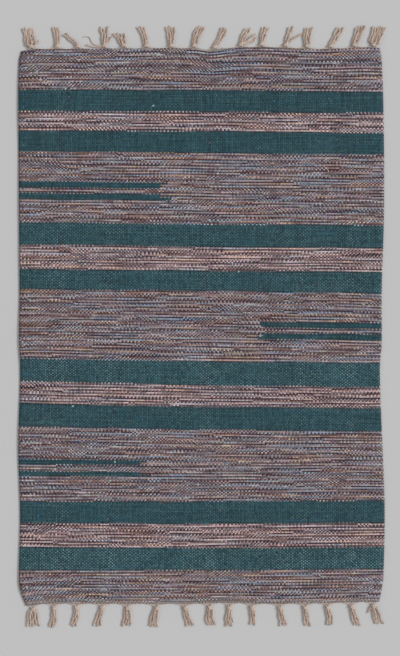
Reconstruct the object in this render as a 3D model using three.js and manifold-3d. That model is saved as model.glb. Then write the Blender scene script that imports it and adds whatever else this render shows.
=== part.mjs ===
// Kilim rug: one flat weft-faced cotton cloth, with its warp ends knotted into tassels along both ends.
// Millimetres. +X runs along the wefts, +Y along the warps and +Z up, and the rug lies on z = 0.
// The origin is at the middle of the rug, on the surface that it lies on.

import * as THREE from 'three';
import { mergeVertices } from 'three/addons/utils/BufferGeometryUtils.js';
import Module from 'manifold-3d';

const wasm = await Module();
wasm.setup();

// Cloth
const clothThickness = 4;
const edgeRound = 1.1;
const edgeDrop = 0.9;
const clothColumns = 20;
const clothRows = 36;
const rowCrowding = 0.5;

// Slow cockles of the beaten wefts, which lift the upper face a little
const cockles = [
  { height: 0.28, lengthX: 410, lengthY: 190, start: 0.4 },
  { height: 0.22, lengthX: -260, lengthY: 133, start: 2.1 },
  { height: 0.15, lengthX: 118, lengthY: 520, start: 4.4 },
];

// Tassels
const clothGap = 1;
const neighbourGap = 1;
const knotWidth = 11;
const knotDepth = 8.4;
const knotHeight = 6.4;
const knotClearance = 0.2;
const knotSides = 7;
const knotRings = 4;
const stripDepth = 1.5;
const stripHeight = 1.5;
const stripHeightAtKnot = 3.4;
const stripSteps = 4;
const lockExitPitch = 1.95;
const lockExitWidth = 1.5;
const lockTipWidth = 1.9;
const lockExitHeight = 3.2;
const lockTipHeight = 1.8;
const lockRootLift = 0.8;
const lockStagger = 1.6;
const lockStaggerTurn = 2.4;
const gatherPower = 3;
const looseMiddleShare = 0.6;
const looseHump = 1;

// Where the two selvedges run: the cloth is drawn in at its corners and wanders by a few millimetres
const selvedges = [
  { y: -459, left: -289, right: 293 },
  { y: -433, left: -299, right: 298 },
  { y: -415, left: -301, right: 300 },
  { y: -310, left: -299, right: 302 },
  { y: -210, left: -302, right: 299 },
  { y: -75, left: -299, right: 294 },
  { y: -25, left: -301, right: 297 },
  { y: 60, left: -300, right: 297 },
  { y: 190, left: -301, right: 301 },
  { y: 360, left: -302, right: 300 },
  { y: 438, left: -301, right: 297 },
  { y: 455, left: -297, right: 294 },
];

// Where the last wefts run at the two ends
const ends = [
  { x: -296, top: 456, bottom: -460 },
  { x: -275, top: 459, bottom: -457 },
  { x: -250, top: 459, bottom: -455 },
  { x: -110, top: 460, bottom: -455 },
  { x: -10, top: 460, bottom: -455 },
  { x: 16, top: 457, bottom: -454 },
  { x: 50, top: 461, bottom: -454 },
  { x: 110, top: 462, bottom: -455 },
  { x: 200, top: 459, bottom: -454 },
  { x: 268, top: 462, bottom: -452 },
  { x: 291, top: 461, bottom: -452 },
];

// One row for each tassel: the knot's x, how far the tips lean sideways, how wide they spread, how far
// they reach from the cloth's end, how far the middle bows sideways, and the number of locks
const topTassels = [
  { x: -281, lean: -5, spread: 17, reach: 37, bow: 1.0, locks: 7 },
  { x: -238, lean: -4, spread: 9, reach: 38, bow: 3.0, locks: 5 },
  { x: -204, lean: -23, spread: 4, reach: 27, bow: 1.0, locks: 3 },
  { x: -160, lean: -1, spread: 12, reach: 38, bow: 1.0, locks: 4 },
  { x: -128, lean: -9, spread: 18, reach: 27, bow: 1.5, locks: 5 },
  { x: -91, lean: -10, spread: 9, reach: 38, bow: 2.5, locks: 5 },
  { x: -50, lean: -2, spread: 14, reach: 38, bow: 1.5, locks: 6 },
  { x: -12, lean: 12, spread: 13, reach: 38, bow: -2.5, locks: 6 },
  { x: 22, lean: 15, spread: 9, reach: 39, bow: 3.5, locks: 5 },
  { x: 65, lean: 13, spread: 13, reach: 31, bow: -1.0, locks: 5 },
  { x: 99, lean: 7, spread: 9, reach: 35, bow: -1.5, locks: 5 },
  { x: 139, lean: 13, spread: 8, reach: 36, bow: -1.5, locks: 4 },
  { x: 174, lean: 4, spread: 13, reach: 37, bow: -2.0, locks: 6 },
  { x: 213, lean: 17, spread: 11, reach: 38, bow: 1.0, locks: 5 },
  { x: 252, lean: 11, spread: 14, reach: 38, bow: 1.0, locks: 6 },
  { x: 284, lean: 9, spread: 22, reach: 36, bow: 0.5, locks: 7 },
];

const bottomTassels = [
  { x: -278, lean: 1, spread: 20, reach: 37, bow: -1.0, locks: 7 },
  { x: -243, lean: -4, spread: 8, reach: 41, bow: 2.0, locks: 5 },
  { x: -206, lean: -6, spread: 8, reach: 40, bow: 2.0, locks: 5 },
  { x: -164, lean: -8, spread: 11, reach: 40, bow: -1.5, locks: 5 },
  { x: -122, lean: -2, spread: 14, reach: 39, bow: 1.5, locks: 6 },
  { x: -74, lean: -5, spread: 13, reach: 40, bow: -2.0, locks: 6 },
  { x: -27, lean: 9, spread: 11, reach: 39, bow: -1.0, locks: 5 },
  { x: 14, lean: 2, spread: 13, reach: 39, bow: -2.0, locks: 6 },
  { x: 46, lean: -1, spread: 9, reach: 40, bow: -1.5, locks: 5 },
  { x: 83, lean: 1, spread: 8, reach: 38, bow: 2.0, locks: 5 },
  { x: 130, lean: 6, spread: 10, reach: 39, bow: -1.0, locks: 5 },
  { x: 171, lean: 5, spread: 8, reach: 39, bow: -1.0, locks: 5 },
  { x: 208, lean: 4, spread: 9, reach: 38, bow: 1.5, locks: 5 },
  { x: 248, lean: 10, spread: 9, reach: 40, bow: -1.5, locks: 5 },
  { x: 284, lean: 9, spread: 12, reach: 39, bow: 1.0, locks: 6 },
];

// Locks that have slipped out of their bundle: the tassel, and where the tip lies from its knot
const looseLocks = [
  { tassel: 'tassel_top_01', across: 7, out: 7.5 },
  { tassel: 'tassel_top_04', across: -31, out: 1 },
  { tassel: 'tassel_top_04', across: 13, out: 14 },
  { tassel: 'tassel_top_10', across: 27, out: 14 },
  { tassel: 'tassel_top_12', across: 26, out: 17 },
  { tassel: 'tassel_bottom_09', across: 8, out: 29 },
  { tassel: 'tassel_bottom_15', across: -11, out: 6 },
];

// The two ends: the tassels' knots lie a little closer to the cloth at the top end
const topEnd = { column: 'top', sign: 1, knotFromEnd: 5.4 };
const bottomEnd = { column: 'bottom', sign: -1, knotFromEnd: 7.6 };

const rug = new THREE.Group();

// Value of one column of a table at a place along its key column, on a smooth curve through the rows
function tableAt(table, key, value, at) {
  const last = table.length - 1;
  let i = 0;
  while (i < last - 1 && at > table[i + 1][key]) {
    i += 1;
  }
  const slope = (k) => {
    const before = table[Math.max(k - 1, 0)];
    const after = table[Math.min(k + 1, last)];
    return (after[value] - before[value]) / (after[key] - before[key]);
  };
  const step = table[i + 1][key] - table[i][key];
  const t = THREE.MathUtils.clamp((at - table[i][key]) / step, 0, 1);
  const s = 1 - t;
  const rise = 3 * t * t - 2 * t * t * t;
  const start = table[i][value] + (table[i + 1][value] - table[i][value]) * rise;
  return start + step * (slope(i) * t * s * s - slope(i + 1) * t * t * s);
}

// Geometry with its shared points merged and each one moved by place(x, y, z)
function reshaped(source, place) {
  source.deleteAttribute('normal');
  source.deleteAttribute('uv');
  const geometry = mergeVertices(source);
  const points = geometry.attributes.position;
  for (let i = 0; i < points.count; i += 1) {
    const moved = place(points.getX(i), points.getY(i), points.getZ(i));
    points.setXYZ(i, moved.x, moved.y, moved.z);
  }
  return geometry;
}

// Box with its points moved by place(u, v, w), where each of the three runs from 0 to 1
function shapedBox(stepsU, stepsV, stepsW, place) {
  const box = new THREE.BoxGeometry(1, 1, 1, stepsU, stepsV, stepsW);
  box.translate(1 / 2, 1 / 2, 1 / 2);
  return reshaped(box, place);
}

function toSolid(geometry) {
  const vertProperties = Float32Array.from(geometry.attributes.position.array);
  const triVerts = Uint32Array.from(geometry.index.array);
  return new wasm.Manifold(new wasm.Mesh({ numProp: 3, vertProperties, triVerts }));
}

function toGeometry(solid) {
  const mesh = solid.getMesh();
  const geometry = new THREE.BufferGeometry();
  geometry.setAttribute('position', new THREE.BufferAttribute(mesh.vertProperties, mesh.numProp));
  geometry.setIndex(new THREE.BufferAttribute(mesh.triVerts, 1));
  return geometry;
}

function addPiece(name, geometry, material) {
  const piece = new THREE.Mesh(geometry, material);
  piece.name = name;
  rug.add(piece);
}

// The cloth: flat underneath, rounded where the wefts turn at its edges, slightly cockled on top
function cockle(x, y) {
  const turn = 2 * Math.PI;
  return cockles.reduce((sum, c) => {
    return sum + c.height * Math.sin(turn * (x / c.lengthX + y / c.lengthY) + c.start);
  }, 0);
}

function clothPoint(u, v, w) {
  const turn = 2 * Math.PI;
  const along = v - (rowCrowding / turn) * Math.sin(turn * v);
  const lowY = selvedges[0].y;
  const highY = selvedges[selvedges.length - 1].y;
  const selvedgeY = THREE.MathUtils.lerp(lowY, highY, along);
  const left = tableAt(selvedges, 'y', 'left', selvedgeY);
  const right = tableAt(selvedges, 'y', 'right', selvedgeY);
  let x = THREE.MathUtils.lerp(left, right, u);
  let y = THREE.MathUtils.lerp(tableAt(ends, 'x', 'bottom', x), tableAt(ends, 'x', 'top', x), along);
  const onSide = u === 0 || u === 1;
  const onEnd = v === 0 || v === 1;
  const onFace = w === 0 || w === 1;
  if (onSide && onFace) {
    x -= Math.sign(x) * edgeRound;
  }
  if (onEnd && onFace) {
    y -= Math.sign(y) * edgeRound;
  }
  const top = clothThickness + cockle(x, y) - (onSide || onEnd ? edgeDrop : 0);
  return { x, y, z: w * top };
}

const clothMaterial = new THREE.MeshStandardMaterial({ color: 0x63626a, roughness: 0.95, metalness: 0 });
addPiece('cloth', shapedBox(clothColumns, clothRows, 2, clothPoint), clothMaterial);

// The last wefts as built, from one side to the other, which the tassels keep clear of
function lastWeft(v) {
  const turns = Array.from({ length: clothColumns + 1 }, (_, i) => i / clothColumns);
  return turns.map((u) => clothPoint(u, v, 1 / 2));
}

const lastWefts = { top: lastWeft(1), bottom: lastWeft(0) };

function endAt(side, x) {
  const points = lastWefts[side.column];
  const i = THREE.MathUtils.clamp(points.findIndex((p) => p.x > x), 1, points.length - 1);
  const t = (x - points[i - 1].x) / (points[i].x - points[i - 1].x);
  return Math.abs(THREE.MathUtils.lerp(points[i - 1].y, points[i].y, t));
}

// Gathered warps along the cloth's end, from halfway to one neighbour to halfway to the other
function gatheredStrip(tassel, side, from, to) {
  return shapedBox(stripSteps, 1, 1, (u, v, w) => {
    const x = THREE.MathUtils.lerp(from, to, u);
    const spread = x < tassel.x ? tassel.x - from : to - tassel.x;
    const gathered = (1 - Math.abs(x - tassel.x) / spread) ** gatherPower;
    const depth = THREE.MathUtils.lerp(stripDepth, side.knotFromEnd - 2 * clothGap, gathered);
    const height = THREE.MathUtils.lerp(stripHeight, stripHeightAtKnot, gathered);
    const near = endAt(side, x) + clothGap;
    const outward = side.sign > 0 ? v : 1 - v;
    return { x, y: side.sign * (near + depth * outward), z: height * w };
  });
}

// Knot head: a squashed ball that stands a little off the floor
function knotBall(centre) {
  const ball = new THREE.SphereGeometry(1 / 2, knotSides, knotRings);
  return reshaped(ball, (x, y, z) => ({
    x: centre.x + x * knotWidth,
    y: centre.y + z * knotDepth,
    z: (1 / 2 - y) * knotHeight + knotClearance,
  }));
}

// One three-sided lock of yarn from inside the knot, down to the floor and along it to its tip
function yarnLock(centre, exit, middle, tip) {
  const stations = [
    { ...centre, width: lockExitWidth, low: lockRootLift, high: lockExitHeight },
    { ...exit, width: lockExitWidth, low: 0, high: lockExitHeight },
    { ...middle, width: (lockExitWidth + lockTipWidth) / 2, low: 0, high: lockTipHeight },
    { ...tip, width: lockTipWidth, low: 0, high: lockTipHeight },
  ];
  const steps = stations.length - 1;
  const section = new THREE.Shape([
    new THREE.Vector2(-1 / 2, 0),
    new THREE.Vector2(1 / 2, 0),
    new THREE.Vector2(0, 1),
  ]);
  const straight = new THREE.ExtrudeGeometry(section, { steps, depth: steps, bevelEnabled: false });
  return reshaped(straight, (across, up, along) => {
    const i = Math.round(along);
    const here = stations[i];
    const ahead = stations[Math.min(i + 1, steps)];
    const behind = stations[Math.max(i - 1, 0)];
    const way = new THREE.Vector2(ahead.x - behind.x, ahead.y - behind.y).normalize();
    return {
      x: here.x - way.y * across * here.width,
      y: here.y + way.x * across * here.width,
      z: THREE.MathUtils.lerp(here.low, here.high, up),
    };
  });
}

// The locks of one tassel leave the knot side by side and fan out to their tips
function bundle(tassel, side, centre) {
  const solids = [];
  for (let k = 0; k < tassel.locks; k += 1) {
    const place = k - (tassel.locks - 1) / 2;
    const share = place / Math.max(tassel.locks - 1, 1);
    const shorter = lockStagger * (1 - Math.cos(k * lockStaggerTurn + tassel.x));
    const out = tassel.reach - side.knotFromEnd - shorter;
    const direction = new THREE.Vector2(tassel.lean, tassel.reach).normalize();
    const exit = {
      x: centre.x + direction.x * knotDepth / 2 + direction.y * place * lockExitPitch,
      y: centre.y + side.sign * (direction.y * knotDepth / 2 - direction.x * place * lockExitPitch),
    };
    const tip = {
      x: centre.x + tassel.lean + share * tassel.spread,
      y: centre.y + side.sign * out,
    };
    const middle = {
      x: (exit.x + tip.x) / 2 + tassel.bow,
      y: (exit.y + tip.y) / 2,
    };
    solids.push(toSolid(yarnLock(centre, exit, middle, tip)));
  }
  return solids;
}

function looseLock(loose, side, centre) {
  const reach = new THREE.Vector2(loose.across, loose.out);
  const outside = reach.clone().setLength(knotWidth / 2);
  const at = (v) => ({ x: centre.x + v.x, y: centre.y + side.sign * v.y });
  const middle = reach.clone().multiplyScalar(looseMiddleShare);
  middle.y += looseHump;
  return toSolid(yarnLock(centre, at(outside), at(middle), at(reach)));
}

const yarnMaterial = new THREE.MeshStandardMaterial({ color: 0xbda993, roughness: 0.9, metalness: 0 });

function addTassels(table, side) {
  const points = lastWefts[side.column];
  const firstX = points[0].x + clothGap;
  const lastX = points[points.length - 1].x - clothGap;
  table.forEach((tassel, i) => {
    const name = `tassel_${side.column}_${String(i + 1).padStart(2, '0')}`;
    const before = i > 0 ? (table[i - 1].x + tassel.x + neighbourGap) / 2 : firstX;
    const after = i < table.length - 1 ? (table[i + 1].x + tassel.x - neighbourGap) / 2 : lastX;
    const end = endAt(side, tassel.x);
    const centre = { x: tassel.x, y: side.sign * (end + side.knotFromEnd) };
    const slipped = looseLocks.filter((loose) => loose.tassel === name);
    const parts = [
      toSolid(gatheredStrip(tassel, side, before, after)),
      toSolid(knotBall(centre)),
      ...bundle(tassel, side, centre),
      ...slipped.map((loose) => looseLock(loose, side, centre)),
    ];
    const whole = parts.reduce((sum, part) => sum.add(part));
    addPiece(name, toGeometry(whole), yarnMaterial.clone());
  });
}

addTassels(topTassels, topEnd);
addTassels(bottomTassels, bottomEnd);

export default rug;
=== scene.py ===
import functools
import math
import random

import bmesh
import bpy
import numpy
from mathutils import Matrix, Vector, geometry, noise


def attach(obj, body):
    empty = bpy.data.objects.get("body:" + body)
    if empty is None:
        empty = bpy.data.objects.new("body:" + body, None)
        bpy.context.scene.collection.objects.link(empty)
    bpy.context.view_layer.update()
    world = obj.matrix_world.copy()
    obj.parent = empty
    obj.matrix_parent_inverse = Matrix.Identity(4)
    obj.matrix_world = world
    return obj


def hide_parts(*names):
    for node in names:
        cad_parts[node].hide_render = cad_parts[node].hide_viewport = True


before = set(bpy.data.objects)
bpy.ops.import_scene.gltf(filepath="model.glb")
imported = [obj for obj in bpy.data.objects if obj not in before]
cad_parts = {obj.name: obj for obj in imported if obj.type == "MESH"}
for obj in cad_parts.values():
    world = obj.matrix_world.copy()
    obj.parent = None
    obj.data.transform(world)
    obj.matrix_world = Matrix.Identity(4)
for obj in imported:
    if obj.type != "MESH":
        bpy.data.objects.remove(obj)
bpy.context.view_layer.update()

# The camera looks straight down on the rug with the rug's top end up, from far enough away that the
# picture takes in the tassels at both ends. Its middle lies a little off the rug's own.
lens = 0.085
sensor_height = 0.036
picture_height = 1.0811
picture_middle = Vector((-0.0025, -0.0008, 0.004))
mm_per_metre = 1000

camera_data = bpy.data.cameras.new("camera")
camera_data.lens = lens * mm_per_metre
camera_data.sensor_fit = "VERTICAL"
camera_data.sensor_height = sensor_height * mm_per_metre
camera = bpy.data.objects.new("camera", camera_data)
camera.location = picture_middle + Vector((0, 0, picture_height * lens / sensor_height))
bpy.context.scene.collection.objects.link(camera)
bpy.context.scene.camera = camera

# Studio light: a wide soft light from the right, as even as daylight, whose shadows fall to the left,
# and a pale surrounding that fills them.
key_from = Vector((1.0, 0.20, 0.80))
key_angle = math.radians(24)
key_strength = 2.3
key_colour = (1.0, 0.985, 0.965)
surround_colour = (0.955, 0.975, 1.0)
surround_strength = 0.55

key_data = bpy.data.lights.new("key_light", "SUN")
key_data.angle = key_angle
key_data.energy = key_strength
key_data.color = key_colour
key_light = bpy.data.objects.new("key_light", key_data)
key_light.rotation_euler = key_from.to_track_quat("Z", "Y").to_euler()
bpy.context.scene.collection.objects.link(key_light)

surround = bpy.data.worlds.new("surround")
surround.use_nodes = True
surround.node_tree.nodes["Background"].inputs["Color"].default_value = (*surround_colour, 1)
surround.node_tree.nodes["Background"].inputs["Strength"].default_value = surround_strength
bpy.context.scene.world = surround
bpy.context.scene.view_settings.view_transform = "Standard"

# The floor under the rug: a plain pale board, painted matt. It lies a hair's breadth below the rug's
# underside, so that the two faces don't coincide.
floor_half_side = 4
floor_drop = 0.0002
floor_colour = (0.53, 0.525, 0.525, 1)
floor_roughness = 0.8

floor_shape = bmesh.new()
bmesh.ops.create_grid(floor_shape, x_segments=1, y_segments=1, size=floor_half_side)
bmesh.ops.translate(floor_shape, verts=floor_shape.verts, vec=(0, 0, -floor_drop))
floor_mesh = bpy.data.meshes.new("floor")
floor_shape.to_mesh(floor_mesh)
floor_shape.free()
floor = bpy.data.objects.new("floor", floor_mesh)
bpy.context.scene.collection.objects.link(floor)
floor_paint = bpy.data.materials.new("matt_paint")
floor_paint.use_nodes = True
floor_paint.node_tree.nodes["Principled BSDF"].inputs["Base Color"].default_value = floor_colour
floor_paint.node_tree.nodes["Principled BSDF"].inputs["Roughness"].default_value = floor_roughness
floor_mesh.materials.append(floor_paint)

# The cloth: one flat weft-faced cotton weave. About 200 warps run along it and are hidden by 382
# beaten wefts, each of two strands laid side by side, so every float over a warp is a small bead.
warps = 200
picks = 382
cloth_flat = (0.60, 0.915)
cloth_thickness = 0.004
bead_relief = 0.0004
weft_turn = 0.0003
edge_height = 0.0024
edge_slope = 0.0004
rim_height = 0.0009
rim_inset = 0.0003
underside_inset = 0.0011
underside_columns = 20
underside_rows = 38
underside_margin = 2
map_margin = 1.5

# The warps stray sideways and the picks endways, but less so close to the cloth's edges
warp_straying = {"most": 0.0022, "length_x": 0.028, "length_y": 0.22, "seed": 9.0}
pick_straying = {"most": 0.0011, "length_x": 0.09, "length_y": 0.018, "seed": 5.0}
edge_hold = 0.3

# Slow cockles of the beaten wefts, which lift the upper face a little
cockles = [
    {"height": 0.00028, "length_x": 0.410, "length_y": 0.190, "start": 0.4},
    {"height": 0.00022, "length_x": -0.260, "length_y": 0.133, "start": 2.1},
    {"height": 0.00015, "length_x": 0.118, "length_y": 0.520, "start": 4.4},
]

# Where the two selvedges run: the cloth is drawn in at its corners and wanders by a few millimetres
selvedges = [
    {"y": -0.459, "left": -0.289, "right": 0.293},
    {"y": -0.433, "left": -0.299, "right": 0.298},
    {"y": -0.415, "left": -0.301, "right": 0.300},
    {"y": -0.310, "left": -0.299, "right": 0.302},
    {"y": -0.210, "left": -0.302, "right": 0.299},
    {"y": -0.075, "left": -0.299, "right": 0.294},
    {"y": -0.025, "left": -0.301, "right": 0.297},
    {"y": 0.060, "left": -0.300, "right": 0.297},
    {"y": 0.190, "left": -0.301, "right": 0.301},
    {"y": 0.360, "left": -0.302, "right": 0.300},
    {"y": 0.438, "left": -0.301, "right": 0.297},
    {"y": 0.455, "left": -0.297, "right": 0.294},
]

# Where the last wefts run at the two ends
ends = [
    {"x": -0.296, "top": 0.456, "bottom": -0.460},
    {"x": -0.275, "top": 0.459, "bottom": -0.457},
    {"x": -0.250, "top": 0.459, "bottom": -0.455},
    {"x": -0.110, "top": 0.460, "bottom": -0.455},
    {"x": -0.010, "top": 0.460, "bottom": -0.455},
    {"x": 0.016, "top": 0.457, "bottom": -0.454},
    {"x": 0.050, "top": 0.461, "bottom": -0.454},
    {"x": 0.110, "top": 0.462, "bottom": -0.455},
    {"x": 0.200, "top": 0.459, "bottom": -0.454},
    {"x": 0.268, "top": 0.462, "bottom": -0.452},
    {"x": 0.291, "top": 0.461, "bottom": -0.452},
]

# The stripes from the bottom end to the top end: the weft yarn, its picks, how loosely they are beaten,
# and the y of the stripe's upper edge at the left selvedge, the middle and the right selvedge, because
# hand-beaten wefts run a little out of line. The last stripe ends where the cloth does.
edge_places = (-0.3, 0, 0.3)
stripes = [
    {"yarn": "melange", "picks": 23, "edge": (-0.401, -0.401, -0.399)},
    {"yarn": "teal", "picks": 16, "loose": 0.95, "edge": (-0.361, -0.363, -0.361)},
    {"yarn": "pink", "picks": 16, "edge": (-0.323, -0.324, -0.323)},
    {"yarn": "teal", "picks": 15, "loose": 0.35, "edge": (-0.288, -0.288, -0.286)},
    {"yarn": "melange", "picks": 51, "edge": (-0.161, -0.167, -0.170)},
    {"yarn": "teal", "picks": 15, "loose": 0.4, "edge": (-0.124, -0.130, -0.132)},
    {"yarn": "pink", "picks": 15, "edge": (-0.087, -0.094, -0.097)},
    {"yarn": "teal", "picks": 16, "loose": 0.85, "edge": (-0.052, -0.057, -0.060)},
    {"yarn": "melange", "picks": 49, "edge": (0.062, 0.060, 0.055)},
    {"yarn": "teal", "picks": 14, "loose": 0.6, "edge": (0.097, 0.094, 0.092)},
    {"yarn": "pink", "picks": 16, "edge": (0.136, 0.132, 0.130)},
    {"yarn": "teal", "picks": 15, "loose": 0.5, "edge": (0.173, 0.169, 0.167)},
    {"yarn": "melange", "picks": 49, "edge": (0.290, 0.287, 0.284)},
    {"yarn": "teal", "picks": 15, "loose": 0.2, "edge": (0.323, 0.322, 0.319)},
    {"yarn": "pink", "picks": 14, "edge": (0.358, 0.357, 0.355)},
    {"yarn": "teal", "picks": 15, "loose": 0.25, "edge": (0.393, 0.392, 0.389)},
    {"yarn": "melange", "picks": 28},
]

# Short teal lines let into the melange from one selvedge: their picks, and the warps that they cross
short_lines = [
    {"side": "left", "first": 289, "last": 289, "warps": 82},
    {"side": "left", "first": 286, "last": 288, "warps": 78},
    {"side": "left", "first": 280, "last": 281, "warps": 78},
    {"side": "left", "first": 278, "last": 279, "warps": 84},
    {"side": "right", "first": 194, "last": 195, "warps": 68},
    {"side": "right", "first": 192, "last": 193, "warps": 66},
    {"side": "right", "first": 186, "last": 187, "warps": 66},
    {"side": "right", "first": 184, "last": 185, "warps": 69},
    {"side": "left", "first": 98, "last": 98, "warps": 71},
    {"side": "left", "first": 96, "last": 97, "warps": 67},
    {"side": "left", "first": 89, "last": 90, "warps": 67},
    {"side": "left", "first": 88, "last": 88, "warps": 73},
]


def table_at(table, key, value, at):
    """Value of one column of a table at a place along its key column, on a smooth curve"""
    last = len(table) - 1
    i = 0
    while i < last - 1 and at > table[i + 1][key]:
        i += 1

    def slope(k):
        before = table[max(k - 1, 0)]
        after = table[min(k + 1, last)]
        return (after[value] - before[value]) / (after[key] - before[key])

    step = table[i + 1][key] - table[i][key]
    t = min(max((at - table[i][key]) / step, 0), 1)
    s = 1 - t
    start = table[i][value] + (table[i + 1][value] - table[i][value]) * (3 - 2 * t) * t * t
    return start + step * (slope(i) * t * s * s - slope(i + 1) * t * t * s)


def edge_at(i, x):
    """Y of the upper edge of a stripe at x, or of the cloth's end where there is none"""
    if i < 0:
        return table_at(ends, "x", "bottom", x)
    if i == len(stripes) - 1:
        return table_at(ends, "x", "top", x)
    return numpy.interp(x, edge_places, stripes[i]["edge"])


def pick_height(x, pick):
    """Y of a pick at x, between the two edges of its stripe"""
    below = 0
    i = 0
    while i < len(stripes) - 1 and pick > below + stripes[i]["picks"]:
        below += stripes[i]["picks"]
        i += 1
    low = edge_at(i - 1, x)
    high = edge_at(i, x)
    return low + (high - low) * (pick - below) / stripes[i]["picks"]


@functools.cache
def selvedges_at(pick):
    """X of the left and the right selvedge at a pick"""
    y = selvedges[0]["y"] + (selvedges[-1]["y"] - selvedges[0]["y"]) * pick / picks
    return table_at(selvedges, "y", "left", y), table_at(selvedges, "y", "right", y)


def strayed(straying, freedom, x, y):
    """How far a warp or a pick strays from its even place"""
    place = Vector((x / straying["length_x"], y / straying["length_y"], straying["seed"]))
    return straying["most"] * freedom * noise.noise(place)


def cloth_place(warp, pick):
    """Where a warp and a pick cross, seen from above"""
    left, right = selvedges_at(pick)
    x = left + (right - left) * warp / warps
    y = pick_height(x, pick)
    free_sideways = math.sin(math.pi * warp / warps) ** edge_hold
    free_endways = math.sin(math.pi * pick / picks) ** edge_hold
    return Vector((
        x + strayed(warp_straying, free_sideways, x, y),
        y + strayed(pick_straying, free_endways, x, y),
    ))


def cockled(x, y):
    """How far the slow cockles lift the upper face"""
    lift = 0
    for cockle in cockles:
        turns = x / cockle["length_x"] + y / cockle["length_y"]
        lift += cockle["height"] * math.sin(2 * math.pi * turns + cockle["start"])
    return lift


def outward_at(vertex):
    """Which way is outwards at a point of the cloth's edge, as a sideways and an endways step"""
    sideways = (vertex[warp_at] >= warps) - (vertex[warp_at] <= 0)
    endways = (vertex[pick_at] >= picks) - (vertex[pick_at] <= 0)
    return Vector((sideways, endways, 0))


weave = bmesh.new()
warp_at = weave.verts.layers.float.new("warp_at")
pick_at = weave.verts.layers.float.new("pick_at")
bmesh.ops.create_grid(weave, x_segments=warps, y_segments=picks, size=0.5)
for vertex in weave.verts:
    warp = round((vertex.co.x + 0.5) * warps)
    pick = round((vertex.co.y + 0.5) * picks)
    vertex[warp_at] = warp
    vertex[pick_at] = pick
    place = cloth_place(warp, pick)
    over = 1 if (warp + pick) % 2 == 0 else -1
    from_edge = min(warp, warps - warp, pick, picks - pick)
    if from_edge == 0:
        top = edge_height + cockled(*place)
        place += outward_at(vertex).xy * weft_turn * over
    else:
        top = cloth_thickness + cockled(*place) + bead_relief * over
        top -= edge_slope if from_edge == 1 else 0
    vertex.co = (*place, top)

# Every quad is split between its two low corners, which makes each float a bead of its own
low_first = []
high_first = []
for face in weave.faces:
    first = face.verts[0]
    low = (first[warp_at] + first[pick_at]) % 2 == 1
    (low_first if low else high_first).append(face)
bmesh.ops.triangulate(weave, faces=low_first, quad_method="FIXED")
bmesh.ops.triangulate(weave, faces=high_first, quad_method="ALTERNATE")

# The rim turns under to the floor in two steps
rim = [edge for edge in weave.edges if edge.is_boundary]
for height, inset in ((rim_height, rim_inset), (0, underside_inset - rim_inset)):
    turned_under = bmesh.ops.extrude_edge_only(weave, edges=rim)["geom"]
    for vertex in (item for item in turned_under if isinstance(item, bmesh.types.BMVert)):
        outward = outward_at(vertex)
        vertex.co -= outward * inset
        vertex.co.z = height
        vertex[warp_at] += outward.x / 2
        vertex[pick_at] += outward.y / 2
    rim = [item for item in turned_under if isinstance(item, bmesh.types.BMEdge) and item.is_boundary]
for edge in rim:
    edge.smooth = False

# The underside lies flat on the floor
sole = bmesh.ops.create_grid(weave, x_segments=underside_columns, y_segments=underside_rows, size=0.5)
for vertex in sole["verts"]:
    vertex[warp_at] = underside_margin + (vertex.co.x + 0.5) * (warps - 2 * underside_margin)
    vertex[pick_at] = underside_margin + (vertex.co.y + 0.5) * (picks - 2 * underside_margin)
    vertex.co = (*cloth_place(vertex[warp_at], vertex[pick_at]), 0)
open_edges = [edge for edge in weave.edges if edge.is_boundary]
bmesh.ops.triangle_fill(weave, use_beauty=True, edges=open_edges, normal=(0, 0, -1))
bmesh.ops.recalc_face_normals(weave, faces=weave.faces)

# One map counts warps and picks for the weave, and the other lays the whole cloth out in a square
weave_map = weave.loops.layers.uv.new("weave")
square_map = weave.loops.layers.uv.new("OFBake")
for face in weave.faces:
    face.smooth = True
    for loop in face.loops:
        warp = loop.vert[warp_at]
        pick = loop.vert[pick_at]
        loop[weave_map].uv = (warp, pick)
        loop[square_map].uv = (
            (warp + map_margin) / (warps + 2 * map_margin),
            (pick + map_margin) / (picks + 2 * map_margin),
        )

cloth_mesh = bpy.data.meshes.new("kilim_cloth")
weave.to_mesh(cloth_mesh)
weave.free()
kilim_cloth = bpy.data.objects.new("kilim_cloth", cloth_mesh)
bpy.context.scene.collection.objects.link(kilim_cloth)


def dye(red, green, blue):
    """Colour of a dyed yarn from its red, green and blue out of 255, as the shaders take it"""
    return (*[((c / 255 + 0.055) / 1.055) ** 2.4 for c in (red, green, blue)], 1)


# The cloth's cotton is matt
cloth_finish = {"Roughness": 0.92, "Specular IOR Level": 0.2, "Sheen Weight": 0.08, "Sheen Roughness": 0.6}

# The two strands of each weft, whose colours change along it as space-dyed yarn does
strands = {
    "melange": {
        "light": [
            (146, 147, 158), (153, 141, 135), (151, 138, 142),
            (122, 108, 111), (170, 165, 165), (136, 135, 144),
        ],
        "dark": [
            (72, 46, 54), (58, 47, 60), (88, 70, 68),
            (108, 96, 102), (66, 46, 52), (94, 74, 78),
        ],
    },
    "pink": {
        "light": [
            (194, 175, 174), (172, 152, 150), (136, 118, 120),
            (188, 168, 168), (156, 138, 138),
        ],
        "dark": [
            (74, 52, 60), (58, 45, 54), (100, 84, 88),
            (66, 50, 58), (120, 104, 107),
        ],
    },
    "teal": {
        "light": [(44, 77, 86), (40, 73, 82), (50, 83, 90)],
        "dark": [(36, 68, 77), (31, 63, 71), (40, 72, 80)],
    },
}

# What each line of floats is tinted with as it runs from brown through mauve and grey to blue, and how
# much less of it there is on the pink and the teal
tints = [
    (0, (1.24, 1.02, 0.78, 1)),
    (1 / 3, (1.07, 0.96, 0.98, 1)),
    (2 / 3, (0.95, 1.01, 1.02, 1)),
    (1, (0.80, 1.04, 1.23, 1)),
]
less_tint_on_pink = 0.25
less_tint_on_teal = 0.6

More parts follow.
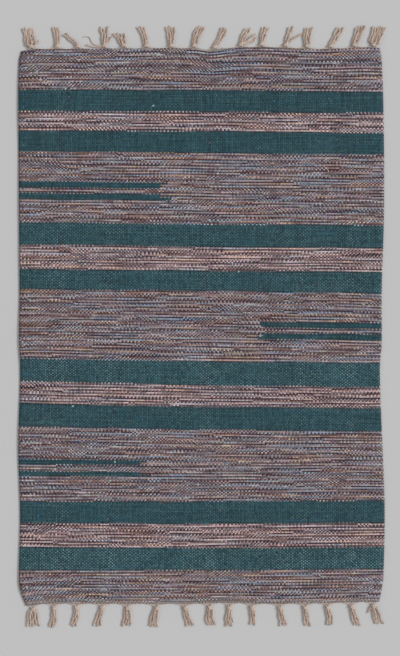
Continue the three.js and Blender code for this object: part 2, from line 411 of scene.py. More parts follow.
# The fibres spun together in a yarn are of two kinds, one pinker and one greener
blends = [
    (0, (1.10, 0.91, 1.08, 1)),
    (1, (0.90, 1.09, 0.92, 1)),
]
blend_across = 0.5
blend_along = 1.7
blend_seed = 40

# Lint and stray fibres caught in the weave, from the rarest
specks = [
    (0.00, dye(170, 196, 190)),
    (0.12, dye(40, 118, 146)),
    (0.30, dye(22, 30, 40)),
    (0.42, dye(104, 96, 96)),
]
speck_share = 0.006
speck_seed = 0.5
speck_covers = 0.8

# Slow random changes along the wefts: how many warps each runs over, how many picks share it, where its
# noise starts, and how fine its detail is. At a hold of alone every pick has a change of its own.
alone = 0.107
changes = {
    "lean": {"length": 40, "hold": 14, "seed": 77.1, "detail": 0},
    "turning": {"length": 80, "hold": 6, "seed": 17.3, "detail": 1},
    "own turning": {"length": 61.6, "hold": alone, "seed": 3.7, "detail": 0},
    "settling": {"length": 70, "hold": 10, "seed": 31.9, "detail": 1},
    "own settling": {"length": 53.9, "hold": alone, "seed": 9.1, "detail": 0},
    "light": {"length": 36, "hold": alone, "seed": 3.1, "detail": 1},
    "dark": {"length": 36, "hold": alone, "seed": 41.7, "detail": 1},
    "tint": {"length": 30, "hold": alone, "seed": 5.5, "detail": 1},
    "line": {"length": 25, "hold": alone, "seed": 1.5, "detail": 1},
    "coarseness": {"length": 16, "hold": 22, "seed": 63.5, "detail": 1},
}

# The part of the noise's range that is spread out to fill 0 to 1
noise_low = 0.27
noise_high = 0.73

# Where the two strands make lines and where a chequer, which the corners always have
turning_share = 0.8
own_turning = 1.0
own_settling = 0.8
corner_picks = 12
corner_warps = 60
corner_strength = 4

# The relief of a float: its arch, its two strands at a slant, and the twist on them
slant_most = 0.6
bump_depth = 0.0005
arch_height = 0.5
strand_height = 0.5
twist_height = 0.06
twist_across = 19
twist_along = 11

# Warps that hang slack, each with the number of warps that feel it, and how coarse the weave is elsewhere
slack_warps = [(22, 14), (50, 6), (104, 9), (156, 5), (183, 11)]
coarse_elsewhere = 0.6
loose_least = 0.5
loose_where_coarse = 0.9

# How strong the painted shade in the gaps between beads and the painted highlight on their middles are, and
# how much more so in the teal and where that is coarse
arch_gap = 0.2
coarse_arch_gap = 0.6
least_gap = 0.001
gap_softness = 0.5
gap_level = 0.8
gap_painted_shading = 0.35
teal_gap_painted_shading = 0.3
coarse_gap_painted_shading = 0.4

# How much beads, lines, warps and fibres differ from one another in shade
bead_change = 0.34
line_change = 0.35
warp_change = 0.28
warp_change_across = 0.73
warp_change_along = 0.03
warp_change_seed = 8
fibre_change = 0.42
fibre_across = 1.3
fibre_along = 2.7
# How dark the painted shade is on floats that dip behind the teal
painted_dip_shade = 0.7

# How the undyed warps show between loosely beaten picks, and past the last wefts at the bottom end
warp_colour = dye(150, 184, 188)
warp_shows = 1.1
bared_rise = 2.2
bared_from = 1.2
loose_end_colour = dye(184, 174, 164)
loose_end_picks = 4
loose_end_shows = 0.9
loose_end_float = 0.85


def feed(tree, socket, value):
    """Gives a socket a number, a colour or what another socket puts out"""
    if isinstance(value, bpy.types.NodeSocket):
        tree.links.new(value, socket)
    else:
        socket.default_value = value


def maths(tree, operation, *values):
    """One step of arithmetic"""
    node = tree.nodes.new("ShaderNodeMath")
    node.operation = operation
    for socket, value in zip(node.inputs, values):
        feed(tree, socket, value)
    return node.outputs[0]


def mixed(tree, share, first, second, way="MIX"):
    """Two colours mixed by a share of the second"""
    node = tree.nodes.new("ShaderNodeMix")
    node.data_type = "RGBA"
    node.blend_type = way
    feed(tree, node.inputs["Factor"], share)
    feed(tree, node.inputs["A"], first)
    feed(tree, node.inputs["B"], second)
    return node.outputs["Result"]


def stepped(tree, share, steps, way="CONSTANT"):
    """Colours in turn as the share rises: (where it starts, colour) for each"""
    node = tree.nodes.new("ShaderNodeValToRGB")
    ramp = node.color_ramp
    ramp.interpolation = way
    for i, (start, colour) in enumerate(steps):
        stop = ramp.elements[i] if i < 2 else ramp.elements.new(start)
        stop.position = start
        stop.color = colour
    feed(tree, node.inputs["Fac"], share)
    return node.outputs["Color"]


def drift(tree, across, along, detail=0):
    """Slow random change over two numbers, spread out to fill 0 to 1"""
    place = tree.nodes.new("ShaderNodeCombineXYZ")
    feed(tree, place.inputs["X"], across)
    feed(tree, place.inputs["Y"], along)
    cloud = tree.nodes.new("ShaderNodeTexNoise")
    cloud.noise_dimensions = "2D"
    cloud.inputs["Scale"].default_value = 1
    cloud.inputs["Detail"].default_value = detail
    tree.links.new(place.outputs[0], cloud.inputs["Vector"])
    spread = tree.nodes.new("ShaderNodeMapRange")
    spread.inputs["From Min"].default_value = noise_low
    spread.inputs["From Max"].default_value = noise_high
    tree.links.new(cloud.outputs["Fac"], spread.inputs["Value"])
    return spread.outputs["Result"]


def chance(tree, first, second):
    """A random number from 0 to 1 for each pair of whole numbers"""
    place = tree.nodes.new("ShaderNodeCombineXYZ")
    feed(tree, place.inputs["X"], first)
    feed(tree, place.inputs["Y"], second)
    dice = tree.nodes.new("ShaderNodeTexWhiteNoise")
    dice.noise_dimensions = "2D"
    tree.links.new(place.outputs[0], dice.inputs["Vector"])
    return dice.outputs["Value"]


cloth_cotton = bpy.data.materials.new("woven_cotton")
cloth_cotton.use_nodes = True
tree = cloth_cotton.node_tree
surface = tree.nodes["Principled BSDF"]
for socket, value in cloth_finish.items():
    surface.inputs[socket].default_value = value

counted = tree.nodes.new("ShaderNodeUVMap")
counted.uv_map = "weave"
apart = tree.nodes.new("ShaderNodeSeparateXYZ")
tree.links.new(counted.outputs[0], apart.inputs[0])
across = apart.outputs["X"]
along = apart.outputs["Y"]

# The warp under this point, the pick that floats over it there, and the line that its floats make
warp = maths(tree, "FLOOR", maths(tree, "ADD", across, 0.5))
off_warp = maths(tree, "SUBTRACT", across, warp)
odd = maths(tree, "PINGPONG", warp, 1)
half = maths(tree, "DIVIDE", maths(tree, "SUBTRACT", along, odd), 2)
pick = maths(tree, "MULTIPLY_ADD", maths(tree, "FLOOR", maths(tree, "ADD", half, 0.5)), 2, odd)
off_pick = maths(tree, "SUBTRACT", along, pick)
line = maths(tree, "FLOOR", along)


def change_along(row, name):
    """One of the slow changes, along a row of the weave"""
    change = changes[name]
    return drift(
        tree,
        maths(tree, "MULTIPLY_ADD", across, 1 / change["length"], change["seed"]),
        maths(tree, "MULTIPLY_ADD", row, 1 / change["hold"], change["seed"]),
        change["detail"],
    )


def fading(distance, reach):
    """One at no distance, which fades evenly to nothing at its reach"""
    return maths(tree, "MAXIMUM", maths(tree, "MULTIPLY_ADD", distance, -1 / reach, 1), 0)


def domed(off):
    """A round back: one in its middle, and nothing one step off it"""
    return maths(tree, "SUBTRACT", 1, maths(tree, "MULTIPLY", off, off))


def shaded_by(change, most):
    """A shade that a change takes as far above one as below it"""
    return maths(tree, "MULTIPLY_ADD", change, most, 1 - most / 2)


# The two strands of a pick lie one above the other, and cross a bead at a slant
slant = maths(tree, "MULTIPLY_ADD", change_along(along, "lean"), 2 * slant_most, -slant_most)
off_strand = maths(tree, "MULTIPLY_ADD", slant, off_warp, off_pick)
upper = maths(tree, "GREATER_THAN", off_strand, 0)

# Where the weft was turned over at each throw a strand meets its own kind in the next pick, and they
# make lines. Where it wasn't, the two make a chequer.
turning = change_along(pick, "turning")
turning = maths(tree, "MULTIPLY_ADD", change_along(pick, "own turning"), own_turning, turning)
from_end = maths(tree, "MINIMUM", pick, maths(tree, "SUBTRACT", picks, pick))
from_side = maths(tree, "MINIMUM", warp, maths(tree, "SUBTRACT", warps, warp))
cornered = maths(tree, "MULTIPLY", fading(from_end, corner_picks), fading(from_side, corner_warps))
turning = maths(tree, "SUBTRACT", turning, maths(tree, "MULTIPLY", cornered, corner_strength))
turned = maths(tree, "GREATER_THAN", turning, 1 - turning_share + own_turning / 2)
flipped = maths(tree, "MULTIPLY", turned, maths(tree, "PINGPONG", pick, 1))
settling = change_along(pick, "settling")
settling = maths(tree, "MULTIPLY_ADD", change_along(pick, "own settling"), own_settling, settling)
settled = maths(tree, "GREATER_THAN", settling, 0.5 + own_settling / 2)
swapped = maths(tree, "ABSOLUTE", maths(tree, "SUBTRACT", settled, flipped))
light_strand = maths(tree, "COMPARE", upper, swapped, 0.5)


def weft_at(row):
    """Which weft a row is of: how loosely it was beaten, and whether it is pink and whether teal"""
    starts = []
    counted_picks = 0
    for stripe in stripes:
        key = (stripe.get("loose", 0), stripe["yarn"] == "pink", stripe["yarn"] == "teal", 1)
        starts.append((max(counted_picks - 0.5, 0) / picks, key))
        counted_picks += stripe["picks"]
    keys = tree.nodes.new("ShaderNodeSeparateColor")
    tree.links.new(stepped(tree, maths(tree, "DIVIDE", row, picks), starts), keys.inputs[0])
    teal = keys.outputs["Blue"]
    for short in short_lines:
        middle = (short["first"] + short["last"]) / 2
        within = maths(tree, "COMPARE", row, middle, (short["last"] - short["first"] + 1) / 2)
        if short["side"] == "left":
            crossed = maths(tree, "LESS_THAN", warp, short["warps"])
        else:
            crossed = maths(tree, "GREATER_THAN", warp, warps - short["warps"])
        teal = maths(tree, "MAXIMUM", teal, maths(tree, "MULTIPLY", within, crossed))
    return keys.outputs["Red"], keys.outputs["Green"], teal


def strand_colour(tone):
    """Colour of the light or the dark strand, whose dyes take turns along it"""
    change = change_along(pick, tone)
    colours = {}
    for yarn, tones in strands.items():
        dyes = tones[tone]
        steps = [(i / len(dyes), dye(*colour)) for i, colour in enumerate(dyes)]
        colours[yarn] = stepped(tree, change, steps)
    with_pink = mixed(tree, pink_here, colours["melange"], colours["pink"])
    return mixed(tree, teal_here, with_pink, colours["teal"])


loose_here, pink_here, teal_here = weft_at(pick)
teal_around = weft_at(along)[2]

yarn_colour = mixed(tree, light_strand, strand_colour("dark"), strand_colour("light"))
tint = stepped(tree, change_along(line, "tint"), tints, "LINEAR")
tint_strength = maths(tree, "MULTIPLY_ADD", pink_here, -less_tint_on_pink, 1)
tint_strength = maths(tree, "MULTIPLY_ADD", teal_here, -less_tint_on_teal, tint_strength)
yarn_colour = mixed(tree, tint_strength, yarn_colour, tint, "MULTIPLY")
blend = drift(
    tree,
    maths(tree, "MULTIPLY", across, blend_across),
    maths(tree, "MULTIPLY_ADD", along, blend_along, blend_seed),
)
yarn_colour = mixed(tree, 1, yarn_colour, stepped(tree, blend, blends, "LINEAR"), "MULTIPLY")

# Each strand is round, and each float arches over its warp, with the twist of the yarn on it
strand_off = maths(tree, "SUBTRACT", maths(tree, "MULTIPLY", maths(tree, "ABSOLUTE", off_strand), 2), 1)
round_strand = domed(strand_off)
arch = domed(maths(tree, "MULTIPLY", off_warp, 2))
twist_place = maths(tree, "MULTIPLY_ADD", across, twist_across, maths(tree, "MULTIPLY", along, twist_along))
height = maths(tree, "MULTIPLY_ADD", arch, arch_height, maths(tree, "MULTIPLY", round_strand, strand_height))
height = maths(tree, "MULTIPLY_ADD", maths(tree, "SINE", twist_place), twist_height, height)
bump = tree.nodes.new("ShaderNodeBump")
bump.inputs["Strength"].default_value = 1
bump.inputs["Distance"].default_value = bump_depth
tree.links.new(height, bump.inputs["Height"])
tree.links.new(bump.outputs["Normal"], surface.inputs["Normal"])

# Along the warps that hang slack the weave is coarse from end to end of the rug, and here and there
# elsewhere
coarse = maths(tree, "MULTIPLY", change_along(along, "coarseness"), coarse_elsewhere)
for slack_warp, feel in slack_warps:
    off_slack = maths(tree, "ABSOLUTE", maths(tree, "SUBTRACT", warp, slack_warp))
    coarse = maths(tree, "MAXIMUM", coarse, fading(off_slack, feel))
looseness = maths(tree, "MULTIPLY_ADD", coarse, loose_where_coarse, loose_least)
loose_here = maths(tree, "MULTIPLY", loose_here, looseness)

# The gaps between beads are darkened with painted shade and the middles of the beads lightened with a
# painted highlight, both deeper in the teal wherever its weave is coarse
coarse_teal = maths(tree, "MULTIPLY", teal_here, coarse)
arch_share = maths(tree, "MULTIPLY_ADD", coarse_teal, coarse_arch_gap, arch_gap)
filled = maths(tree, "SUBTRACT", 1, maths(tree, "MULTIPLY", arch_share, maths(tree, "SUBTRACT", 1, arch)))
gap_painted_shading_mask = maths(tree, "MAXIMUM", maths(tree, "MULTIPLY", filled, round_strand), least_gap)
teal_painted_shading = maths(tree, "MULTIPLY_ADD", coarse, coarse_gap_painted_shading, teal_gap_painted_shading)
painted_shading_depth = maths(tree, "MULTIPLY_ADD", teal_here, teal_painted_shading, gap_painted_shading)
above_level = maths(tree, "SUBTRACT", maths(tree, "POWER", gap_painted_shading_mask, gap_softness), gap_level)
shade = maths(tree, "MULTIPLY_ADD", above_level, painted_shading_depth, 1)

# Each bead takes the dye a little differently, and its fibres lie this way and that
shade = maths(tree, "MULTIPLY", shade, shaded_by(chance(tree, warp, pick), bead_change))
fibre = drift(
    tree,
    maths(tree, "MULTIPLY", across, fibre_across),
    maths(tree, "MULTIPLY", along, fibre_along),
)
shade = maths(tree, "MULTIPLY", shade, shaded_by(fibre, fibre_change))

# Whole lines of floats differ as well. In the plain teal it is the warps that differ instead: the floats
# along some warps are a little lighter or darker than their neighbours', in fine columns.
line_shade = shaded_by(change_along(line, "line"), line_change)
warp_tone = drift(
    tree,
    maths(tree, "MULTIPLY", warp, warp_change_across),
    maths(tree, "MULTIPLY_ADD", along, warp_change_along, warp_change_seed),
)
excess = maths(tree, "SUBTRACT", shaded_by(warp_tone, warp_change), line_shade)
shade = maths(tree, "MULTIPLY", shade, maths(tree, "MULTIPLY_ADD", teal_here, excess, line_shade))

# Where a stripe meets the teal its floats dip behind the teal ones, and painted shade darkens them there
painted_dip_mask = maths(tree, "MULTIPLY", teal_around, maths(tree, "SUBTRACT", 1, teal_here))
shade = maths(tree, "MULTIPLY", shade, maths(tree, "MULTIPLY_ADD", painted_dip_mask, -painted_dip_shade, 1))
shaded = mixed(tree, 1, yarn_colour, shade, "MULTIPLY")

# Between the floats of a loosely beaten stripe a little of the pale warp shows
between = maths(tree, "MULTIPLY_ADD", maths(tree, "ABSOLUTE", off_pick), bared_rise, -bared_from)
bared = maths(tree, "MULTIPLY", maths(tree, "MAXIMUM", between, 0), arch)
bared = maths(tree, "MULTIPLY", bared, maths(tree, "MULTIPLY", loose_here, chance(tree, warp, line)))
shaded = mixed(tree, maths(tree, "MULTIPLY", bared, warp_shows), shaded, warp_colour)

# The last few wefts at the bottom end are packed less, so the undyed warps show between their floats
off_float = maths(tree, "MULTIPLY_ADD", arch, -loose_end_float, 1)
end_bared = maths(tree, "MULTIPLY", fading(along, loose_end_picks), off_float)
shaded = mixed(tree, maths(tree, "MULTIPLY", end_bared, loose_end_shows), shaded, loose_end_colour)

# Lint and stray fibres are caught on a float here and there
speck = maths(tree, "DIVIDE", chance(tree, maths(tree, "ADD", warp, speck_seed), pick), speck_share)
caught = maths(tree, "MULTIPLY", maths(tree, "LESS_THAN", speck, 1), upper)
specked = mixed(tree, maths(tree, "MULTIPLY", caught, speck_covers), shaded, stepped(tree, speck, specks))
tree.links.new(specked, surface.inputs["Base Color"])
cloth_mesh.materials.append(cloth_cotton)

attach(kilim_cloth, "root")
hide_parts("cloth")

# The fringe: the cloth's own warp ends, two-ply undyed cotton, gathered a dozen at a time and tied
# with an overhand knot close to the last weft. Beyond the knot they lie on the floor in a few locks.
plies = 2
yarn_radius = 0.0008
yarn_sides = 8
yarn_tip = 0.7
ply_waist = 0.2
ply_length = 0.0075
ring_step = 0.0011
fewest_rings = 5
handle_length = 0.1
neighbour_gap = 0.001
cloth_gap = 0.001
merging_distance = 0.000001

# A yarn's map counts its turn and the millimetres along it, and each yarn starts so many of them on. In
# the bake's map the yarns lie side by side in strips.
yarn_start = 50
strip_margin = 0.1
strip_end_margin = 0.02

# A gathered warp comes out from under the last weft, runs low along the cloth's end, bows away from it
# near the knot and rises into the knot's back
warp_pitch = cloth_flat[0] / warps
root_radius = 0.0004
root_inside = 0.0018
root_height = 0.0018
root_bow = 0.0010
root_lean = 0.08
root_out = 0.0010
root_low = 0.0008
root_low_change = 0.0008
root_near_knot = 0.25
root_rise_from = 0.0010
root_rise = 0.0026
root_aside = 0.0010
root_back = 0.0012
root_height_change = 0.001

# The turns of the knot, which start and end tucked in
knot_width = 0.0090
knot_height = 0.0056
knot_clearance = 0.0002
wraps = 4
wrap_pitch = 0.0013
wrap_slant = 0.28
wrap_shrink = 0.10
wrap_turns = 1.1
wrap_start = 0.3
wrap_tuck = 0.5
wrap_tuck_rise = 6
wrap_spare_steps = 4

# The locks beyond it, which open and wave a little, and end unevenly
yarns_in_lock = 4
lock_radius = 0.00095
lock_flatness = 0.8
lock_turn = 0.034
lock_opening = 0.25
lock_wave = 0.0006
lock_wave_sizes = (0.5, 1.5)
lock_wave_length = 0.019
lock_wave_lengths = (0.8, 1.3)
lock_stagger = 0.0025
most_rings_short = 2
lock_handle = 0.7
bow_share = 0.75
lock_from_knot = 0.4
loose_lock_from_knot = 0.1
exit_pitch = 0.0026
exit_reach = 0.0030
exit_layer = 0.0009
lock_clearance = 0.00005
lock_floor = yarn_radius + lock_radius * lock_flatness + lock_clearance

# One row for each tassel: the knot's x, how far the tips lean sideways, how wide they spread, how far
# they reach from the cloth's end, how far the middle bows sideways, and the number of locks
top_tassels = [
    {"x": -0.281, "lean": -0.006, "spread": 0.014, "reach": 0.037, "bow": 0.0010, "locks": 6, "wide": 1.3},
    {"x": -0.238, "lean": -0.004, "spread": 0.009, "reach": 0.038, "bow": 0.0030, "locks": 3},
    {"x": -0.204, "lean": -0.023, "spread": 0.004, "reach": 0.027, "bow": 0.0010, "locks": 2},
    {"x": -0.160, "lean": -0.001, "spread": 0.012, "reach": 0.038, "bow": 0.0010, "locks": 3},
    {"x": -0.128, "lean": -0.009, "spread": 0.018, "reach": 0.027, "bow": 0.0015, "locks": 4},
    {"x": -0.091, "lean": -0.010, "spread": 0.009, "reach": 0.038, "bow": 0.0025, "locks": 3},
    {"x": -0.050, "lean": -0.002, "spread": 0.014, "reach": 0.038, "bow": 0.0015, "locks": 4},
    {"x": -0.012, "lean": 0.012, "spread": 0.013, "reach": 0.038, "bow": -0.0025, "locks": 4},
    {"x": 0.022, "lean": 0.015, "spread": 0.009, "reach": 0.039, "bow": 0.0035, "locks": 3},
    {"x": 0.065, "lean": 0.012, "spread": 0.010, "reach": 0.034, "bow": -0.0010, "locks": 3},
    {"x": 0.099, "lean": 0.007, "spread": 0.009, "reach": 0.035, "bow": -0.0015, "locks": 3},
    {"x": 0.139, "lean": 0.010, "spread": 0.007, "reach": 0.036, "bow": -0.0015, "locks": 2},
    {"x": 0.174, "lean": 0.004, "spread": 0.013, "reach": 0.037, "bow": -0.0020, "locks": 4},
    {"x": 0.213, "lean": 0.017, "spread": 0.011, "reach": 0.038, "bow": 0.0010, "locks": 3},
    {"x": 0.252, "lean": 0.011, "spread": 0.014, "reach": 0.038, "bow": 0.0010, "locks": 4},
    {"x": 0.284, "lean": 0.010, "spread": 0.020, "reach": 0.036, "bow": 0.0000, "locks": 6, "wide": 1.2},
]
bottom_tassels = [
    {"x": -0.278, "lean": 0.001, "spread": 0.020, "reach": 0.037, "bow": -0.0010, "locks": 5, "wide": 1.3},
    {"x": -0.243, "lean": -0.004, "spread": 0.008, "reach": 0.041, "bow": 0.0020, "locks": 3},
    {"x": -0.206, "lean": -0.006, "spread": 0.008, "reach": 0.040, "bow": 0.0020, "locks": 3},
    {"x": -0.164, "lean": -0.008, "spread": 0.011, "reach": 0.040, "bow": -0.0015, "locks": 3},
    {"x": -0.122, "lean": -0.002, "spread": 0.014, "reach": 0.039, "bow": 0.0015, "locks": 4},
    {"x": -0.074, "lean": -0.005, "spread": 0.013, "reach": 0.040, "bow": -0.0020, "locks": 4},
    {"x": -0.027, "lean": 0.009, "spread": 0.011, "reach": 0.039, "bow": -0.0010, "locks": 3},
    {"x": 0.014, "lean": 0.002, "spread": 0.013, "reach": 0.039, "bow": -0.0020, "locks": 4},
    {"x": 0.046, "lean": -0.001, "spread": 0.009, "reach": 0.040, "bow": -0.0015, "locks": 3},
    {"x": 0.083, "lean": 0.001, "spread": 0.008, "reach": 0.038, "bow": 0.0020, "locks": 3},
    {"x": 0.130, "lean": 0.006, "spread": 0.010, "reach": 0.039, "bow": -0.0010, "locks": 3},
    {"x": 0.171, "lean": 0.005, "spread": 0.008, "reach": 0.039, "bow": -0.0010, "locks": 3},
    {"x": 0.208, "lean": 0.004, "spread": 0.009, "reach": 0.038, "bow": 0.0015, "locks": 3},
    {"x": 0.248, "lean": 0.010, "spread": 0.009, "reach": 0.040, "bow": -0.0015, "locks": 3},
    {"x": 0.284, "lean": 0.009, "spread": 0.012, "reach": 0.039, "bow": 0.0010, "locks": 4},
]

# Locks that have slipped out of their bundle: the tassel, how many yarns, and the two handles of its
# curve and its tip, each by how far across and how far out it lies from the knot
loose_locks = [
    {"tassel": "tassel_top_01", "yarns": 4, "way": ((0.007, 0.001), (0.0105, 0.004), (0.013, 0.01))},
    {"tassel": "tassel_top_04", "yarns": 2, "way": ((-0.01, -0.003), (-0.022, -0.002), (-0.031, 0.002))},
    {"tassel": "tassel_top_04", "yarns": 1, "way": ((-0.031, -0.002), (-0.013, 0.018), (-0.0375, 0.0145))},
    {"tassel": "tassel_top_04", "yarns": 3, "way": ((0.0045, 0.002), (0.009, 0.01), (0.0128, 0.0165))},
    {"tassel": "tassel_top_10", "yarns": 4, "way": ((0.0085, 0.0035), (0.018, 0.012), (0.024, 0.0185))},
    {"tassel": "tassel_top_10", "yarns": 3, "way": ((0.011, 0.001), (0.021, 0.005), (0.0275, 0.011))},
    {"tassel": "tassel_top_12", "yarns": 4, "way": ((0.006, 0.005), (0.017, 0.015), (0.0277, 0.0185))},
    {"tassel": "tassel_bottom_09", "yarns": 1, "way": ((0.003, 0.008), (0.006, 0.018), (0.007, 0.026))},
    {"tassel": "tassel_bottom_15", "yarns": 3, "way": ((-0.005, 0.0), (-0.009, 0.006), (-0.0095, 0.012))},
]

# The two ends: the tassels' knots lie a little closer to the cloth at the top end
top_end = {"column": "top", "pick": picks, "sign": 1, "knot_from_end": 0.0054}
bottom_end = {"column": "bottom", "pick": 0, "sign": -1, "knot_from_end": 0.0076}


def smooth_path(start, leaving, arriving, finish):
    """Points about a ring's step apart on a curve between two places with a handle at each"""
    handles = (start - leaving).length + (arriving - finish).length
    length = (start - finish).length + handle_length * handles
    count = max(round(length / ring_step), fewest_rings)
    return geometry.interpolate_bezier(start, leaving, arriving, finish, count + 1)


def root_paths(side, knot, near_x, far_x, chances):
    """The warps from under the last weft, gathered along the cloth's end into the knot"""
    paths = []
    number = round((far_x - near_x) / warp_pitch)
    for k in range(number):
        x = near_x + (far_x - near_x) * (k + 0.5) / number
        away = x - knot.x
        closeness = 1 - abs(away) / max(knot.x - near_x, far_x - knot.x)
        edge = side["sign"] * table_at(ends, "x", side["column"], x)
        out = edge + cloth_gap + root_bow * closeness
        start = Vector((x, side["sign"] * (edge - root_inside), root_height))
        leaving = Vector((
            x - away * root_lean,
            side["sign"] * (out + root_out),
            root_low + root_low_change * chances.random(),
        ))
        arriving = Vector((
            knot.x + away * root_near_knot,
            side["sign"] * out,
            root_rise_from + root_rise * closeness,
        ))
        finish = knot + Vector((
            math.copysign(root_aside, away),
            -side["sign"] * root_back,
            chances.uniform(-root_height_change, root_height_change),
        ))
        paths.append(smooth_path(start, leaving, arriving, finish))
    return paths


def wrap_paths(side, knot):
    """The turns of the overhand knot round the bundle, which slant across it"""
    paths = []
    for k in range(wraps):
        place = k - (wraps - 1) / 2
        full = 1 - wrap_shrink * abs(place)
        wide = (knot_width / 2 - yarn_radius) * full
        deep = (knot_height / 2 - yarn_radius) * full
        steps = round(math.pi * (wide + deep) / ring_step) + wrap_spare_steps
        path = []
        for step in range(steps + 1):
            share = step / steps
            angle = 2 * math.pi * (wrap_turns * share - wrap_start)
            tucked = min(1, wrap_tuck_rise * share + wrap_tuck, wrap_tuck_rise * (1 - share) + wrap_tuck)
            x = wide * tucked * math.cos(angle)
            y = place * wrap_pitch + wrap_slant * x + wrap_pitch * (share - 0.5)
            path.append(knot + Vector((x, side["sign"] * y, deep * tucked * math.sin(angle))))
        paths.append(path)
    return paths


def roped(path, yarns, chances):
    """The yarns of a lock, which turn about each other along a path that waves a little"""
    wave_length = lock_wave_length * chances.uniform(*lock_wave_lengths)
    phase = chances.uniform(0, 2 * math.pi)
    wave = lock_wave * chances.uniform(*lock_wave_sizes)
    first_turn = chances.uniform(0, 2 * math.pi)
    apart = lock_radius if yarns > 2 else yarn_radius * (yarns - 1)
    ropes = []
    for yarn in range(yarns):
        rings_short = chances.randint(0, most_rings_short)
        rope = []
        for k, point in enumerate(path[:len(path) - rings_short]):
            ahead = path[min(k + 1, len(path) - 1)] - path[max(k - 1, 0)]
            sideways = Vector((-ahead.y, ahead.x, 0)).normalized()
            so_far = k * ring_step
            waved = wave * min(2 * k / len(path), 1) * math.sin(2 * math.pi * so_far / wave_length + phase)
            turn = first_turn + 2 * math.pi * (yarn / yarns + so_far / lock_turn)
            opened = apart * (1 + lock_opening * k / len(path))
            aside = waved + opened * math.cos(turn)
            rope.append(Vector((
                point.x + sideways.x * aside,
                point.y + sideways.y * aside,
                point.z + apart * lock_flatness * math.sin(turn),
            )))
        ropes.append(rope)
    return ropes


def lock_paths(tassel, side, knot, chances):
    """The locks beyond the knot, which leave it side by side and fan out to their tips"""
    paths = []
    way = Vector((tassel["lean"], tassel["reach"])).normalized()
    between = tassel["locks"] - 1
    pitch = exit_pitch * tassel.get("wide", 1)
    for k in range(tassel["locks"]):
        place = k - between / 2
        exit_place = knot + Vector((
            way.x * exit_reach + way.y * place * pitch,
            side["sign"] * (way.y * exit_reach - way.x * place * pitch),
            exit_layer * (1 if k % 2 else -1),
        ))
        out = tassel["reach"] - side["knot_from_end"] - chances.uniform(0, lock_stagger)
        tip = Vector((
            knot.x + tassel["lean"] + place / between * tassel["spread"],
            knot.y + side["sign"] * out,
            lock_floor,
        ))
        # The curve goes a share of the way to its handles, so they lean past the bow
        middle = (exit_place + tip) / 2 + Vector((tassel["bow"] / bow_share, 0, 0))
        leaving = exit_place.lerp(middle, lock_handle)
        leaving.z = exit_place.z
        arriving = tip.lerp(middle, lock_handle)
        arriving.z = lock_floor
        path = smooth_path(exit_place, leaving, arriving, tip)
        paths += roped([knot.lerp(exit_place, lock_from_knot), *path], yarns_in_lock, chances)
    return paths


def loose_paths(name, side, knot, chances):
    """Locks that have slipped out of a bundle and lie to one side of it"""
    paths = []
    for lock in loose_locks:
        if lock["tassel"] == name:
            lies_at = lock_floor if lock["yarns"] > 1 else yarn_radius
            way = [
                Vector((knot.x + aside, knot.y + side["sign"] * out, lies_at))
                for aside, out in lock["way"]
            ]
            start = knot.lerp(way[0], loose_lock_from_knot)
            start.z = knot.z
            paths += roped(smooth_path(start, *way), lock["yarns"], chances)
    return paths


def lay_yarn(bundle, maps, path, number, count, chances, radius):
    """One two-ply yarn along a path: a grid rolled into a tube with a waist that turns as it goes"""
    rings = len(path) - 1
    before = len(bundle.faces)
    rolled = bmesh.ops.create_grid(bundle, x_segments=yarn_sides, y_segments=rings, size=0.5)["verts"]
    bundle.faces.ensure_lookup_table()
    for face in bundle.faces[before:]:
        for loop in face.loops:
            around = loop.vert.co.x + 0.5
            way = loop.vert.co.y + 0.5
            run = way * rings * ring_step * mm_per_metre
            loop[maps["yarn"]].uv = (around, run + number * yarn_start)
            loop[maps["strips"]].uv = (
                (number + strip_margin + (1 - 2 * strip_margin) * around) / count,
                strip_end_margin + (1 - 2 * strip_end_margin) * way,
            )
    start_turn = chances.uniform(0, 2 * math.pi)
    for vertex in rolled:
        k = round((vertex.co.y + 0.5) * rings)
        angle = 2 * math.pi * (vertex.co.x + 0.5)
        ahead = (path[min(k + 1, rings)] - path[max(k - 1, 0)]).normalized()
        level = ahead.cross(Vector((0, 0, 1))).normalized()
        up = level.cross(ahead)
        lobe = 1 - ply_waist + ply_waist * math.cos(plies * angle)
        reach = radius * lobe * (yarn_tip if k in (0, rings) else 1)
        turned = angle + start_turn + 2 * math.pi * k * ring_step / ply_length
        vertex.co = path[k] + (level * math.cos(turned) + up * math.sin(turned)) * reach


# The yarn is matt, with painted shade in the groove between its plies, dusty in patches, and here and there
# tanned
yarn_finish = {"Roughness": 0.88, "Specular IOR Level": 0.25, "Sheen Weight": 0.1}
fresh_colour = dye(250, 236, 226)
dusty_colour = dye(219, 200, 186)
tanned_colour = dye(180, 148, 126)
painted_groove_shade_colour = dye(178, 150, 132)
fibre_colour = dye(250, 240, 230)
dust_along = 0.12
dust_detail = 2
tan_seed = 3
tan_rarity = 2
fibre_turns = 9
fibre_lay = 2.2
fibre_run = 0.5
fibre_detail = 1
fibre_shows = 0.25
fibre_relief = 0.00012

warp_cotton = bpy.data.materials.new("cotton_yarn")
warp_cotton.use_nodes = True
tree = warp_cotton.node_tree
surface = tree.nodes["Principled BSDF"]
for socket, value in yarn_finish.items():
    surface.inputs[socket].default_value = value

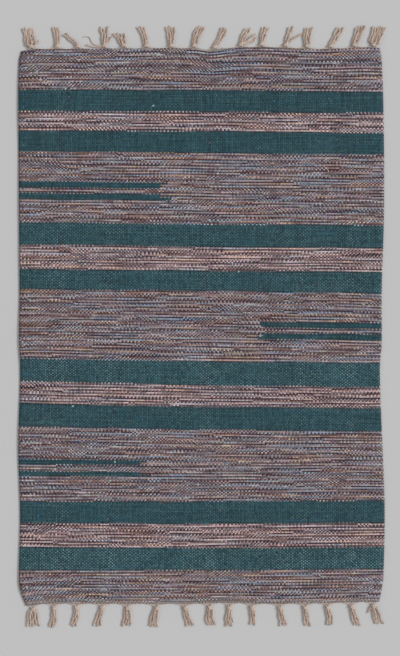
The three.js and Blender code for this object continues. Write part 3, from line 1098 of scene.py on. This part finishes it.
counted = tree.nodes.new("ShaderNodeUVMap")
counted.uv_map = "yarn"
apart = tree.nodes.new("ShaderNodeSeparateXYZ")
tree.links.new(counted.outputs[0], apart.inputs[0])
around = apart.outputs["X"]
along = apart.outputs["Y"]
lobes = maths(tree, "COSINE", maths(tree, "MULTIPLY", around, 2 * math.pi * plies))
out_of_painted_groove_shade = maths(tree, "MULTIPLY_ADD", lobes, 0.5, 0.5)
fresh = drift(tree, around, maths(tree, "MULTIPLY", along, dust_along), dust_detail)
fibre_place = maths(tree, "MULTIPLY_ADD", around, fibre_turns, maths(tree, "MULTIPLY", along, fibre_lay))
fibre = drift(tree, fibre_place, maths(tree, "MULTIPLY", along, fibre_run), fibre_detail)
yarn_number = maths(tree, "FLOOR", maths(tree, "DIVIDE", along, yarn_start))
tanned = maths(tree, "POWER", chance(tree, yarn_number, tan_seed), tan_rarity)
yarn_colour = mixed(tree, fresh, dusty_colour, fresh_colour)
yarn_colour = mixed(tree, tanned, yarn_colour, tanned_colour)
# Painted shade darkens the groove between the plies
yarn_colour = mixed(tree, out_of_painted_groove_shade, painted_groove_shade_colour, yarn_colour)
yarn_colour = mixed(tree, maths(tree, "MULTIPLY", fibre, fibre_shows), yarn_colour, fibre_colour)
tree.links.new(yarn_colour, surface.inputs["Base Color"])
fibre_bump = tree.nodes.new("ShaderNodeBump")
fibre_bump.inputs["Distance"].default_value = fibre_relief
tree.links.new(fibre, fibre_bump.inputs["Height"])
tree.links.new(fibre_bump.outputs["Normal"], surface.inputs["Normal"])

for table, side in ((top_tassels, top_end), (bottom_tassels, bottom_end)):
    first_x = cloth_place(0, side["pick"]).x + cloth_gap
    last_x = cloth_place(warps, side["pick"]).x - cloth_gap
    for i, tassel in enumerate(table):
        name = f"tassel_{side['column']}_{i + 1:02d}"
        chances = random.Random(name)
        near_x = first_x
        if i > 0:
            near_x = (table[i - 1]["x"] + tassel["x"] + neighbour_gap) / 2
        far_x = last_x
        if i < len(table) - 1:
            far_x = (table[i + 1]["x"] + tassel["x"] - neighbour_gap) / 2
        end = side["sign"] * table_at(ends, "x", side["column"], tassel["x"])
        knot = Vector((
            tassel["x"],
            side["sign"] * (end + side["knot_from_end"]),
            knot_clearance + knot_height / 2,
        ))
        roots = root_paths(side, knot, near_x, far_x, chances)
        paths = roots + wrap_paths(side, knot)
        paths += lock_paths(tassel, side, knot, chances)
        paths += loose_paths(name, side, knot, chances)

        bundle = bmesh.new()
        maps = {
            "yarn": bundle.loops.layers.uv.new("yarn"),
            "strips": bundle.loops.layers.uv.new("OFBake"),
        }
        for number, path in enumerate(paths):
            radius = root_radius if number < len(roots) else yarn_radius
            lay_yarn(bundle, maps, path, number, len(paths), chances, radius)
        bmesh.ops.remove_doubles(bundle, verts=bundle.verts, dist=merging_distance)
        open_ends = [edge for edge in bundle.edges if edge.is_boundary]
        bmesh.ops.holes_fill(bundle, edges=open_ends, sides=yarn_sides)
        bmesh.ops.recalc_face_normals(bundle, faces=bundle.faces)
        for face in bundle.faces:
            face.smooth = True
        tassel_mesh = bpy.data.meshes.new(name + "_yarns")
        bundle.to_mesh(tassel_mesh)
        bundle.free()
        tassel_mesh.materials.append(warp_cotton)
        piece = bpy.data.objects.new(name + "_yarns", tassel_mesh)
        bpy.context.scene.collection.objects.link(piece)
        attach(piece, "root")
        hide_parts(name)
